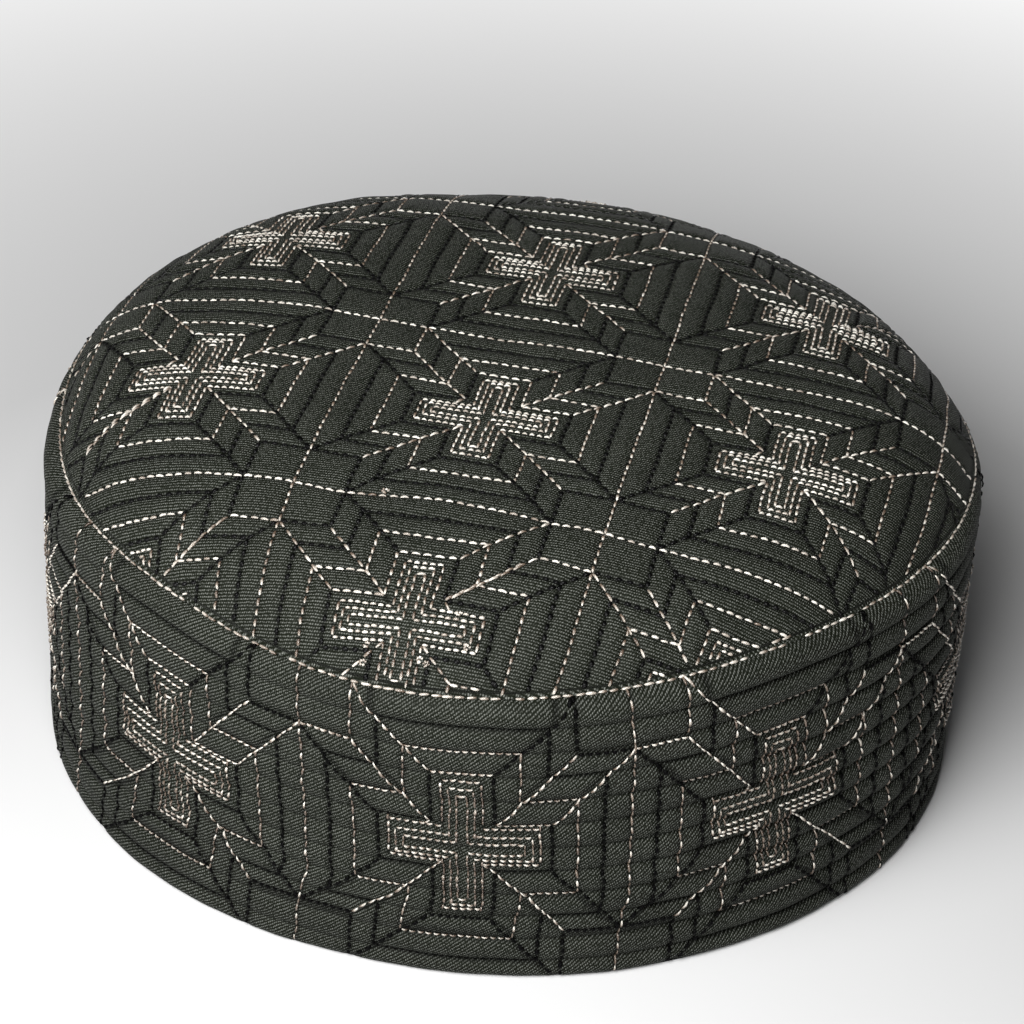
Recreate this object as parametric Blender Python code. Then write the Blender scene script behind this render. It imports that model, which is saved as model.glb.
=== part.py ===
"""A kufi: a quilted round crown panel seated on a ribbed, padded side band.

All lengths below are real sizes in metres. The cap rests on its rim in the
plane Z = 0 with the head opening downwards, and +Y points away from the viewer.
"""

import math

import bmesh
import bpy

MM = 0.001

# Outline of the cap seen from above and from the side, by direction.
# The seam is the line where crown and band meet; the rim is the lower edge; the shoulder is
# the padded top edge of the band, which stands out beyond the seam.
# Columns: direction in degrees from +X, seam radius, seam height, rim radius and
# shoulder beyond the seam, in millimetres.
OUTLINE = (
    (0, 93.5, 66.5, 97.0, 1.5),
    (15, 94.0, 64.0, 95.5, 1.5),
    (30, 94.5, 61.0, 94.5, 1.5),
    (45, 93.5, 61.0, 95.0, 1.5),
    (60, 92.0, 61.5, 96.0, 1.5),
    (75, 90.5, 62.0, 97.0, 1.5),
    (90, 89.5, 62.5, 96.0, 1.5),
    (105, 89.0, 62.5, 95.5, 1.5),
    (120, 90.5, 63.0, 95.5, 1.5),
    (135, 93.0, 63.5, 96.5, 1.5),
    (150, 95.0, 62.5, 96.5, 1.0),
    (165, 95.5, 62.0, 96.0, 1.0),
    (180, 94.0, 63.0, 95.5, 1.5),
    (195, 92.0, 64.0, 96.0, 2.5),
    (210, 92.0, 64.0, 97.5, 3.5),
    (225, 91.0, 65.0, 98.5, 3.0),
    (240, 90.0, 65.0, 97.5, 2.5),
    (255, 91.5, 65.0, 96.5, 2.5),
    (270, 93.0, 65.5, 94.5, 2.5),
    (285, 92.5, 66.5, 95.0, 3.0),
    (300, 91.5, 67.5, 95.0, 3.5),
    (315, 90.5, 68.5, 96.0, 3.0),
    (330, 91.5, 68.0, 97.5, 3.0),
    (345, 92.5, 68.0, 98.0, 3.5),
)
DIRECTION, SEAM_RADIUS, SEAM_HEIGHT, RIM_RADIUS, SHOULDER = range(5)
HIGHEST_WAVE = 8

# Plan position of the middle of the outline, so that the whole cap is centred.
MIDDLE_X = -0.8 * MM
MIDDLE_Y = -0.28 * MM

# Crown panel: flat in the middle, rolling down steeply to the seam.
CROWN_TOP = 82.2 * MM
CROWN_EDGE_SLOPE = math.radians(66.5)
CROWN_ROLL_POWER = 4.8
CROWN_WAVE_POWER = 3.8
CROWN_THICKNESS = 3.0 * MM
CROWN_RINGS = (0.14, 0.28, 0.42, 0.54, 0.64, 0.72, 0.79, 0.85, 0.90, 0.94, 0.97, 0.985)
CROWN_UNDER_RINGS = (0.965, 0.92, 0.86, 0.78, 0.66, 0.50, 0.30)
# The crown's edge is turned down inside the top of the band.
TURN_DOWN = 4.0 * MM
TURN_DOWN_INSET = 0.75 * MM
TURN_DOWN_START = 0.4 * MM

# Side band: a padded wall with rounded ribs running all the way round.
BAND_THICKNESS = 3.0 * MM
BAND_TOP_INSET = 0.4 * MM
BAND_COLLAR = 5.0 * MM
SHOULDER_DROP = 3.0 * MM
SHOULDER_TURNS = (0.0, 30.0, 60.0, 90.0)
GROOVE_COUNT = 11
LOWEST_GROOVE_SHARE = 0.063
GROOVE_PITCH_SHARE = 0.0862
RIB_CREST = 0.3 * MM
RIB_GROOVE = 0.6 * MM
RIB_STEPS = (0.0, 0.18, 0.5, 0.82)
EDGE_ROUND = 0.8 * MM
INNER_WALL_SHARES = (0.3, 0.65)

STEPS_AROUND = 72
PROFILE_STEPS = 60

CROWN_COLOUR = (0.033, 0.038, 0.035, 1.0)
BAND_COLOUR = (0.030, 0.035, 0.032, 1.0)
CLOTH_ROUGHNESS = 0.85


def outline_waves(column):
    """Smooth closed curve through one column of the outline table."""
    count = len(OUTLINE)
    mean = sum(row[column] for row in OUTLINE) / count
    waves = []
    for order in range(1, HIGHEST_WAVE + 1):
        cosine = 0.0
        sine = 0.0
        for row in OUTLINE:
            angle = order * math.radians(row[DIRECTION])
            cosine += row[column] * math.cos(angle) * 2.0 / count
            sine += row[column] * math.sin(angle) * 2.0 / count
        waves.append((order, cosine, sine))
    return mean, waves


def along(curve, direction):
    """Value of a smooth closed curve at one direction, in metres."""
    mean, waves = curve
    value = mean
    for order, cosine, sine in waves:
        value += cosine * math.cos(order * direction) + sine * math.sin(order * direction)
    return value * MM


SEAM_RADIUS_CURVE = outline_waves(SEAM_RADIUS)
SEAM_HEIGHT_CURVE = outline_waves(SEAM_HEIGHT)
RIM_RADIUS_CURVE = outline_waves(RIM_RADIUS)
SHOULDER_CURVE = outline_waves(SHOULDER)


def crown_slope(share):
    """Downward slope of the crown at a share of the cloth's way to the seam."""
    return CROWN_EDGE_SLOPE * share ** CROWN_ROLL_POWER


def crown_run(share):
    """Level reach and drop of the crown for a cloth of unit radius."""
    reach = 0.0
    drop = 0.0
    for step in range(PROFILE_STEPS):
        slope = crown_slope(share * (step + 0.5) / PROFILE_STEPS)
        reach += math.cos(slope) * share / PROFILE_STEPS
        drop += math.sin(slope) * share / PROFILE_STEPS
    return reach, drop


FULL_REACH, FULL_DROP = crown_run(1.0)


def crown_point(share, direction, depth):
    """Radius and height on the crown, a given depth below its outer face."""
    cloth_radius = along(SEAM_RADIUS_CURVE, direction) / FULL_REACH
    reach, drop = crown_run(share)
    wave = along(SEAM_HEIGHT_CURVE, direction) - (CROWN_TOP - cloth_radius * FULL_DROP)
    radius = cloth_radius * reach
    height = CROWN_TOP - cloth_radius * drop + wave * share ** CROWN_WAVE_POWER
    slope = crown_slope(share)
    return radius - depth * math.sin(slope), height - depth * math.cos(slope)


def groove_share(number):
    """Share of the band's height at which a groove between two ribs lies."""
    return LOWEST_GROOVE_SHARE + number * GROOVE_PITCH_SHARE


def band_shares():
    """Each ring of the ribbed face: share of the band's height and step within its rib."""
    rings = [(LOWEST_GROOVE_SHARE * step, step) for step in RIB_STEPS[1:]]
    for number in range(GROOVE_COUNT - 1):
        for step in RIB_STEPS:
            rings.append((groove_share(number + step), step))
    top_groove = groove_share(GROOVE_COUNT - 1)
    rings.append((top_groove, 0.0))
    rings.append((top_groove + RIB_STEPS[1] * GROOVE_PITCH_SHARE, RIB_STEPS[1]))
    return rings


def rib_offset(step):
    """Outward offset of the band's face at a step from one groove to the next."""
    arch = math.sqrt(max(0.0, 1.0 - (2.0 * step - 1.0) ** 2))
    return RIB_CREST * arch - RIB_GROOVE * (1.0 - arch)


def band_line(share_up, direction):
    """Radius and height of the band's outer line at a share of its height, without ribs."""
    rim = along(RIM_RADIUS_CURVE, direction)
    shoulder = along(SEAM_RADIUS_CURVE, direction) + along(SHOULDER_CURVE, direction)
    return rim + (shoulder - rim) * share_up, along(SEAM_HEIGHT_CURVE, direction) * share_up


def crown_section(direction):
    """Outer face, turned-down edge and under side of the crown at one direction."""
    edge_radius = along(SEAM_RADIUS_CURVE, direction) - TURN_DOWN_INSET
    seam_height = along(SEAM_HEIGHT_CURVE, direction)
    section = [crown_point(share, direction, 0.0) for share in CROWN_RINGS]
    section.append((edge_radius, seam_height + TURN_DOWN_START))
    section.append((edge_radius, seam_height - TURN_DOWN))
    section.append((edge_radius - CROWN_THICKNESS, seam_height - TURN_DOWN))
    section += [crown_point(share, direction, CROWN_THICKNESS) for share in CROWN_UNDER_RINGS]
    return section


def band_section(direction):
    """Closed section of the band: rim, outer ribs, rounded shoulder, inner wall."""
    rim_radius = along(RIM_RADIUS_CURVE, direction)
    seam_radius = along(SEAM_RADIUS_CURVE, direction)
    seam_height = along(SEAM_HEIGHT_CURVE, direction)
    shoulder = along(SHOULDER_CURVE, direction)
    section = [(rim_radius - EDGE_ROUND, 0.0)]
    for share, step in band_shares():
        radius, height = band_line(share, direction)
        section.append((radius + rib_offset(step), height))
    for turn in SHOULDER_TURNS:
        across = shoulder * math.cos(math.radians(turn))
        rise = SHOULDER_DROP * (math.sin(math.radians(turn)) - 1.0)
        section.append((seam_radius + across, seam_height + rise))
    inner_top = seam_radius - BAND_TOP_INSET
    inner_rim = rim_radius - BAND_THICKNESS
    section.append((inner_top, seam_height - BAND_TOP_INSET))
    section.append((inner_top, seam_height - BAND_COLLAR))
    for share in reversed(INNER_WALL_SHARES):
        section.append((inner_rim + (inner_top - inner_rim) * share, seam_height * share))
    section.append((inner_rim, EDGE_ROUND))
    section.append((inner_rim + EDGE_ROUND, 0.0))
    return section


def ring_of_points(mesh, sections, index):
    """One ring of vertices: the same point of every section."""
    ring = []
    for step, section in enumerate(sections):
        direction = 2.0 * math.pi * step / STEPS_AROUND
        radius, height = section[index]
        x = MIDDLE_X + radius * math.cos(direction)
        y = MIDDLE_Y + radius * math.sin(direction)
        ring.append(mesh.verts.new((x, y, height)))
    return ring


def join_rings(mesh, lower, upper):
    """Quads between two neighbouring rings."""
    for step in range(STEPS_AROUND):
        after = (step + 1) % STEPS_AROUND
        mesh.faces.new((lower[step], lower[after], upper[after], upper[step]))


def close_ring(mesh, ring, centre, height):
    """Fan of triangles from a ring to a point on the cap's middle line."""
    middle = mesh.verts.new((MIDDLE_X, MIDDLE_Y, height))
    for step in range(STEPS_AROUND):
        after = (step + 1) % STEPS_AROUND
        if centre == "above":
            mesh.faces.new((ring[step], ring[after], middle))
        else:
            mesh.faces.new((ring[after], ring[step], middle))


def finish_object(mesh, name, colour):
    """Turn a finished mesh into a named object with its own material."""
    bmesh.ops.recalc_face_normals(mesh, faces=mesh.faces)
    data = bpy.data.meshes.new(name)
    mesh.to_mesh(data)
    mesh.free()
    for polygon in data.polygons:
        polygon.use_smooth = True
    material = bpy.data.materials.new(name + "_cloth")
    material.use_nodes = True
    shader = material.node_tree.nodes["Principled BSDF"]
    shader.inputs["Base Color"].default_value = colour
    shader.inputs["Roughness"].default_value = CLOTH_ROUGHNESS
    data.materials.append(material)
    item = bpy.data.objects.new(name, data)
    bpy.context.scene.collection.objects.link(item)
    return item


def build_crown():
    sections = []
    for step in range(STEPS_AROUND):
        sections.append(crown_section(2.0 * math.pi * step / STEPS_AROUND))
    mesh = bmesh.new()
    rings = [ring_of_points(mesh, sections, index) for index in range(len(sections[0]))]
    for first, second in zip(rings[:-1], rings[1:]):
        join_rings(mesh, first, second)
    close_ring(mesh, rings[0], "above", CROWN_TOP)
    close_ring(mesh, rings[-1], "below", CROWN_TOP - CROWN_THICKNESS)
    return finish_object(mesh, "crown_panel", CROWN_COLOUR)


def build_band():
    sections = []
    for step in range(STEPS_AROUND):
        sections.append(band_section(2.0 * math.pi * step / STEPS_AROUND))
    mesh = bmesh.new()
    rings = [ring_of_points(mesh, sections, index) for index in range(len(sections[0]))]
    for first, second in zip(rings, rings[1:] + rings[:1]):
        join_rings(mesh, first, second)
    return finish_object(mesh, "side_band", BAND_COLOUR)


def main():
    for item in list(bpy.data.objects):
        bpy.data.objects.remove(item, do_unlink=True)
    build_crown()
    build_band()


main()
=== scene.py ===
"""A quilted kufi on a pale floor: cloth, ribs, every stitch, light and camera."""

import math

import bpy
import numpy as np
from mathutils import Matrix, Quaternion, Vector
from mathutils.geometry import delaunay_2d_cdt


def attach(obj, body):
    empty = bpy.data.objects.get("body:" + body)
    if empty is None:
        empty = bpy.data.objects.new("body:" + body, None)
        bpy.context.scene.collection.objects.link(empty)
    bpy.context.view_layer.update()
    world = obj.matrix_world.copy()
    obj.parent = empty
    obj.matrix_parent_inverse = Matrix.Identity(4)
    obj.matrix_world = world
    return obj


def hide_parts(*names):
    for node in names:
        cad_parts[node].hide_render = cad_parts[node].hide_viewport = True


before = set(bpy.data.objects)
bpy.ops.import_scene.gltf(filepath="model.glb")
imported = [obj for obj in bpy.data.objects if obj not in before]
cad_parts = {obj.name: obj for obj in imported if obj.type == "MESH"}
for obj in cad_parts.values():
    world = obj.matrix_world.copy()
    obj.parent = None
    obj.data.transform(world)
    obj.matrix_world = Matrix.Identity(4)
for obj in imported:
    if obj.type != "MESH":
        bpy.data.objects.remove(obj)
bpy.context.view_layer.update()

MM = 0.001

# Outline of the cap, as in the solids.
# Columns: direction in degrees from +X, seam radius, seam height, rim radius and
# shoulder beyond the seam, in millimetres.
OUTLINE = (
    (0, 93.5, 66.5, 97.0, 1.5),
    (15, 94.0, 64.0, 95.5, 1.5),
    (30, 94.5, 61.0, 94.5, 1.5),
    (45, 93.5, 61.0, 95.0, 1.5),
    (60, 92.0, 61.5, 96.0, 1.5),
    (75, 90.5, 62.0, 97.0, 1.5),
    (90, 89.5, 62.5, 96.0, 1.5),
    (105, 89.0, 62.5, 95.5, 1.5),
    (120, 90.5, 63.0, 95.5, 1.5),
    (135, 93.0, 63.5, 96.5, 1.5),
    (150, 95.0, 62.5, 96.5, 1.0),
    (165, 95.5, 62.0, 96.0, 1.0),
    (180, 94.0, 63.0, 95.5, 1.5),
    (195, 92.0, 64.0, 96.0, 2.5),
    (210, 92.0, 64.0, 97.5, 3.5),
    (225, 91.0, 65.0, 98.5, 3.0),
    (240, 90.0, 65.0, 97.5, 2.5),
    (255, 91.5, 65.0, 96.5, 2.5),
    (270, 93.0, 65.5, 94.5, 2.5),
    (285, 92.5, 66.5, 95.0, 3.0),
    (300, 91.5, 67.5, 95.0, 3.5),
    (315, 90.5, 68.5, 96.0, 3.0),
    (330, 91.5, 68.0, 97.5, 3.0),
    (345, 92.5, 68.0, 98.0, 3.5),
)
DIRECTION, SEAM_RADIUS, SEAM_HEIGHT, RIM_RADIUS, SHOULDER = range(5)
HIGHEST_WAVE = 8
MIDDLE = np.array((-0.8 * MM, -0.28 * MM, 0.0))

CROWN_TOP = 82.2 * MM
CROWN_EDGE_SLOPE = math.radians(66.5)
CROWN_ROLL_POWER = 4.8
CROWN_WAVE_POWER = 3.8
CLOTH_THICKNESS = 3.0 * MM
TURN_DOWN = 4.0 * MM
TURN_DOWN_INSET = 0.06 * MM
TURN_DOWN_START = 0.4 * MM

BAND_TOP_INSET = 0.03 * MM
BAND_TOP_ROUND = 0.4 * MM
BAND_COLLAR = 5.0 * MM
SHOULDER_DROP = 3.0 * MM
GROOVE_COUNT = 11
LOWEST_GROOVE_SHARE = 0.063
GROOVE_PITCH_SHARE = 0.0862
RIB_CREST = 0.3 * MM
RIB_GROOVE = 1.30 * MM
FLATTEST_RIBS = 0.34
FLAT_RIBS_SPREAD = 0.95
FLAT_RIBS_AT = math.radians(238.0)
EDGE_ROUND = 0.8 * MM

# The stitched pattern repeats in square tiles.  The tile's sizes below are shares of its side.
TILE = 59.0 * MM
CROWN_TILES = range(-2, 3)
BAND_TILES = range(-5, 6)
CROWN_PATTERN_MIDDLE = np.array((0.0035, 0.4608))
BAND_TILE_ANGLE = math.radians(37.8)
BAND_FRONT_TILE = math.radians(278.5)
CROSS_OUTLINES = ((0.0595, 0.228), (0.037, 0.205), (0.016, 0.182))
RING_ONE = (0.094, 0.263)
RING_TWO = (0.172, 0.340)
RING_THREE = (0.250, 0.418)
CORNER = 0.329
HALF_TILE = 0.5

# Height in the band's pattern, in tiles from its middle, and the share of the band's height.
# The rings' level lines lie in the grooves.
BAND_PATTERN_HEIGHT = (
    (-0.500, -0.005), (-0.418, 0.0630), (-0.340, 0.1492), (-0.329, 0.185), (-0.250, 0.2354),
    (-0.228, 0.266), (-0.205, 0.284), (-0.182, 0.303), (-0.172, 0.3216), (-0.094, 0.4078),
    (-0.0595, 0.444), (-0.037, 0.460), (-0.016, 0.478), (0.016, 0.519), (0.037, 0.546),
    (0.0595, 0.570), (0.094, 0.5802), (0.172, 0.6664), (0.182, 0.688), (0.205, 0.716),
    (0.228, 0.738), (0.250, 0.7526), (0.329, 0.829), (0.340, 0.8388), (0.418, 0.925),
    (0.500, 1.000),
)

# How far the band's pattern is pulled sideways, in thousandths of a tile.
# Columns: share of the band's height, then the pull at five columns of the pattern.
BAND_SWAY_COLUMNS = (-1.0, -0.5, 0.0, 0.5, 1.0)
BAND_SWAY = (
    (0.00, 10, -8, -10, -18, -16),
    (0.16, 30, -3, -7, -17, -16),
    (0.24, 35, 10, 2, -12, -16),
    (0.30, 45, 30, 8, 5, -18),
    (0.40, 33, 24, 3, -3, -26),
    (0.50, 21, 22, -3, -6, -28),
    (0.62, 10, 8, -8, -14, -30),
    (0.74, -10, 0, -18, -18, -36),
    (0.84, -25, -10, -19, -23, -42),
    (1.00, -12, -19, -22, -50, -40),
)

# Unevenness of the crown's hand-guided lines, in tiles.
CROWN_TILT = 0.008
CROWN_DROP = 0.005
FRONT_LINE = -0.5
FRONT_LINE_RISE = 0.016
FRONT_LINE_DIP = 0.008
FRONT_LINE_REACH = 0.07
FRONT_RISE_WIDTH = 0.16
FRONT_DIP_WIDTH = 0.08
WANDER = 0.0022

# Small unevenness as products of two slanting sine waves.  Each wave has its two rates in the
# pattern's coordinates and its phase, in radians.
CROWN_UP_WAVES = ((19.0, 7.0, 0.0), (6.0, -15.0, 0.6))
CROWN_SIDE_WAVES = ((8.0, 17.0, 1.1), (13.0, -5.0, 2.3))
BAND_SIDE_WAVES = ((9.0, 31.0, 0.0), (4.0, -19.0, 0.8))
PUCKER_WAVES = (
    (1.0, (9.1, 3.7, 0.4), (2.9, -8.3, 1.9)),
    (0.7, (17.3, -6.1, 2.2), (5.3, 15.7, 0.0)),
    (0.5, (31.0, 11.0, 5.0), (13.0, -29.0, 0.7)),
)

# Quilting: how the stitches pull the padded cloth in.
QUILT_DEPTH = 0.68 * MM
QUILT_WIDTH = 0.8 * MM
CROSS_DEPTH_SHARE = 0.55
CROWN_RELIEF_FADE = 0.035
BAND_RELIEF_FADE = 0.03
# Widths of the painted shade along the quilting lines in the cloth's colour, which also set their bump.
CROWN_CREASE_WIDTH = 0.5 * MM
BAND_CREASE_WIDTH = 0.58 * MM
PUCKER = 0.12 * MM
BAND_PULL = 0.83
DEEP_RIB_PULL_LOSS = 0.48

# Stitches.
CREAM, DARK = "cream", "dark"
STITCH_PITCH = 2.05 * MM
DIAGONAL_PITCH = 2.45 * MM
CROSS_PITCH = 1.45 * MM
BAND_LEVEL_PITCH = 1.55 * MM
STITCH_FILL = {CREAM: 0.86, DARK: 0.72}
BAND_FILL = {CREAM: 0.88, DARK: 0.70}
CREAM_WIDTH = 0.57 * MM
DARK_WIDTH = 0.88 * MM
GROOVE_STITCH_SHARE = 0.62
LEVEL_STITCH_SHARE = 0.86
LEAST_STITCH_SHARE = 0.66
# Steepest rise of a level stitch and widest run of an upright one, as shares of the other.
LEVEL_RUN = 0.1
UPRIGHT_RUN = 0.2
GROOVE_REACH = 0.06
ARM_SHARE = 0.62
ARM_MARGIN = 0.01
GLINT_STEP = 0.66
GLINT_REACH = 0.20
GROOVE_LIFT = 0.32 * MM
THREAD_HEIGHT = 0.40 * MM
STITCH_LIFT = 0.14 * MM
STITCH_ARCH = 0.32 * MM
STITCHES_PER_RIB = 3
STITCH_SIDES = 6
STITCH_STATIONS = ((-0.36, 0.76), (0.0, 1.0), (0.36, 0.76))
STITCH_TIP = 0.56
STITCH_SINK = 0.10 * MM
TIP_SINK = 0.28 * MM
CROSS_TAIL = 0.122
CROWN_LAST_STITCH = 0.988
BAND_LOWEST_STITCH = 0.012
BAND_SCALE = np.array((62.0 * MM, 66.0 * MM))
SEAM_LENGTH = 2.0 * math.pi * 92.0 * MM
SEAM_PITCH = 2.1 * MM
SEAM_FILL = 0.90
SEAM_THREAD_WIDTH = 0.56 * MM
SEAM_THREAD_OUTSET = -0.02 * MM
SEAM_THREAD_LIFT = 0.10 * MM
SEAM_MISSED = 0.05
SEAM_LEAN = 0.9
SECOND_ROW_OFFSET = 0.34 * MM
THREAD_TWIST = 0.42 * MM

# How much single stitches vary: places aside and ahead, lean, and shares of length, width, height.
STITCH_SPREAD = (0.05 * MM, 0.06 * MM, 0.05, 0.06, 0.10, 0.10)
SEAM_SPREAD = 0.05

# Lightness of the stitches, from nought to one, often given at the two ends of a stitch. Besides a
# random spread it is painted light: painted highlight along level stitches, at one end of most stitches
# and where a rib faces up, and painted shade on upright stitches of the crown, more so further back.
CROWN_TONE = 0.84
CROWN_UPRIGHT_SHADE = 0.46
CROWN_BACK_SHADE = 0.12
CROWN_FRONT_HIGHLIGHT = 0.45
CROWN_TONE_SPREAD = 0.13
BAND_UPPER_TONE, BAND_LOWER_TONE = 1.0, 0.2
BAND_UPRIGHT_TONE, BAND_GLINT_TONE = 0.42, 0.58
BAND_LEVEL_TONES = (1.0, 0.3)
BAND_GROOVE_TONES = (0.95, 0.3)
BAND_TONE_SPREAD = 0.10
SEAM_LEAST_TONES, SEAM_MOST_TONES = (0.65, 0.15), (1.0, 0.65)

# Mesh fineness.
CROWN_NORMAL_STEP = 0.004
BAND_NORMAL_STEP = 0.003
BAND_NORMAL_MARGIN = 0.004
CROWN_GRID = 0.64 * MM
CROWN_GRID_REACH = 1.75
CROWN_GRID_GAP = 0.006
CELL_CORNERS = ((0, 0), (1, 0), (1, 1), (0, 1))
CROWN_EDGE_STEPS = 620
BAND_STEPS = 660
ROWS_PER_RIB = 9

# Rings of the two cloth meshes, as shares of the way to the seam and of the height.
CROWN_FLAT_SHARE = 0.985
CROWN_EDGE_SHARES = (0.9905, 0.996)
CROWN_UNDER_SHARES = (0.965, 0.94, 0.91, 0.87, 0.82, 0.76, 0.68, 0.58, 0.45, 0.3, 0.15)
BAND_TOP_RISES = (0.0, 0.01, 0.04, 0.09, 0.16, 0.25, 0.35, 0.45, 0.54, 0.62, 0.70, 0.78, 0.86,
                  0.93, 1.0)
BAND_INNER_SHARES = (0.85, 0.72, 0.58, 0.44, 0.3, 0.16, 0.06)
BAND_CLOTH_RADIUS = 96.0 * MM
# A place of the tile with no stitched line near it, for cloth that isn't quilted.
PLAIN_PLACE = (0.44, 0.44)

rng = np.random.RandomState(7)


def outline_waves(column):
    """Smooth closed curve through one column of the outline table."""
    rows = np.array(OUTLINE, dtype=float)
    angles = np.radians(rows[:, DIRECTION])
    values = rows[:, column]
    return values.mean(), [(order, 2.0 * (values * np.cos(order * angles)).mean(),
                            2.0 * (values * np.sin(order * angles)).mean())
                           for order in range(1, HIGHEST_WAVE + 1)]


def along(curve, direction):
    """Values of a smooth closed curve at directions, in metres."""
    mean, waves = curve
    value = mean + 0.0 * direction
    for order, cosine, sine in waves:
        value = value + cosine * np.cos(order * direction) + sine * np.sin(order * direction)
    return value * MM


SEAM_RADIUS_CURVE = outline_waves(SEAM_RADIUS)
SEAM_HEIGHT_CURVE = outline_waves(SEAM_HEIGHT)
RIM_RADIUS_CURVE = outline_waves(RIM_RADIUS)
SHOULDER_CURVE = outline_waves(SHOULDER)

# Reach and drop of the crown for a cloth of unit radius, by share of the way to the seam.
RUN_SHARES = np.linspace(0.0, 1.02, 1021)
run_slopes = CROWN_EDGE_SLOPE * ((RUN_SHARES[1:] + RUN_SHARES[:-1]) / 2.0) ** CROWN_ROLL_POWER
run_step = RUN_SHARES[1] - RUN_SHARES[0]
RUN_REACH = np.concatenate(([0.0], np.cumsum(np.cos(run_slopes)) * run_step))
RUN_DROP = np.concatenate(([0.0], np.cumsum(np.sin(run_slopes)) * run_step))
FULL_REACH = np.interp(1.0, RUN_SHARES, RUN_REACH)
FULL_DROP = np.interp(1.0, RUN_SHARES, RUN_DROP)


def around(radius, direction, height):
    """Points at a radius, direction and height about the cap's middle line."""
    x = radius * np.cos(direction)
    y = radius * np.sin(direction)
    return np.stack((x, y, height + 0.0 * x), axis=-1) + MIDDLE


def crown_radius(direction):
    """Length of the crown's cloth from the middle to the seam, in metres."""
    return along(SEAM_RADIUS_CURVE, direction) / FULL_REACH


def crown_polar(u, v):
    """Share of the way to the seam and direction of crown pattern points."""
    x = (u - CROWN_PATTERN_MIDDLE[0]) * TILE
    y = (v - CROWN_PATTERN_MIDDLE[1]) * TILE
    direction = np.arctan2(y, x)
    return np.hypot(x, y) / crown_radius(direction), direction


def crown_pattern(share, direction):
    """Crown pattern coordinates of a share and direction."""
    length = share * crown_radius(direction)
    u = length * np.cos(direction) / TILE + CROWN_PATTERN_MIDDLE[0]
    v = length * np.sin(direction) / TILE + CROWN_PATTERN_MIDDLE[1]
    return u, v


def crown_point(share, direction, depth=0.0):
    """Points on the crown, a given depth below its outer face."""
    cloth_radius = crown_radius(direction)
    reach = np.interp(share, RUN_SHARES, RUN_REACH)
    drop = np.interp(share, RUN_SHARES, RUN_DROP)
    wave = along(SEAM_HEIGHT_CURVE, direction) - (CROWN_TOP - cloth_radius * FULL_DROP)
    height = CROWN_TOP - cloth_radius * drop + wave * share ** CROWN_WAVE_POWER
    slope = CROWN_EDGE_SLOPE * share ** CROWN_ROLL_POWER
    radius = cloth_radius * reach - depth * np.sin(slope)
    return around(radius, direction, height - depth * np.cos(slope))


def crown_base(u, v):
    return crown_point(*crown_polar(u, v))


def bell(distance, width):
    """One at no distance, falling smoothly to nothing over a few widths."""
    return np.exp(-(distance / width) ** 2)


def uneven(u, v, first, second):
    """Product of two slanting sine waves."""
    return (np.sin(first[0] * u + first[1] * v + first[2])
            * np.sin(second[0] * u + second[1] * v + second[2]))


def crown_sway(u, v):
    """How far the crown's stitched lines stray from the even pattern, in tiles."""
    rise = FRONT_LINE_RISE * bell(u, FRONT_RISE_WIDTH)
    dip = FRONT_LINE_DIP * bell(np.abs(u) - CORNER, FRONT_DIP_WIDTH)
    up = CROWN_TILT * np.sin(2.0 * math.pi * u) - CROWN_DROP
    up = up + bell(v - FRONT_LINE, FRONT_LINE_REACH) * (rise - dip)
    up = up + WANDER * uneven(u, v, *CROWN_UP_WAVES)
    return WANDER * uneven(u, v, *CROWN_SIDE_WAVES), up


def band_sway(u, share):
    """How far the band's stitched lines are pulled sideways, in tiles."""
    shares, *columns = zip(*BAND_SWAY)
    place = np.interp(u, BAND_SWAY_COLUMNS, range(len(columns)))
    pull = sum(np.interp(share, shares, column) * np.clip(1.0 - np.abs(place - k), 0.0, 1.0)
               for k, column in enumerate(columns))
    return pull / 1000.0 + WANDER * uneven(u, share, *BAND_SIDE_WAVES)


def unit(vectors):
    """Vectors scaled to unit length."""
    return vectors / np.linalg.norm(vectors, axis=-1, keepdims=True)


def normals_of(surface, u, v, step):
    """Outward normals of a surface given as a function of two coordinates."""
    along_u = surface(u + step, v) - surface(u - step, v)
    along_v = surface(u, v + step) - surface(u, v - step)
    return unit(np.cross(along_u, along_v))


def segment_distance(a, b, start, end):
    """Distance in tiles from points to one straight line of the pattern."""
    run = (end[0] - start[0], end[1] - start[1])
    part = ((a - start[0]) * run[0] + (b - start[1]) * run[1]) / (run[0] ** 2 + run[1] ** 2)
    part = np.clip(part, 0.0, 1.0)
    return np.hypot(a - start[0] - part * run[0], b - start[1] - part * run[1])


def folded(u, v):
    """Pattern points folded into one eighth of a tile."""
    a = np.abs(u - np.round(u))
    b = np.abs(v - np.round(v))
    return np.maximum(a, b), np.minimum(a, b)


EIGHTH_LINES = [
    ((CORNER, CORNER), (HALF_TILE, CORNER)),
    ((HALF_TILE, 0.0), (HALF_TILE, HALF_TILE)),
    ((CROSS_OUTLINES[0][0], CROSS_OUTLINES[0][0]), (CORNER, CORNER)),
    ((RING_ONE[1], RING_ONE[0]), (HALF_TILE, CORNER)),
]
for half, reach in CROSS_OUTLINES[:1] + (RING_ONE, RING_TWO, RING_THREE):
    EIGHTH_LINES += [((reach, 0.0), (reach, half)), ((half, half), (reach, half))]


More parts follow.
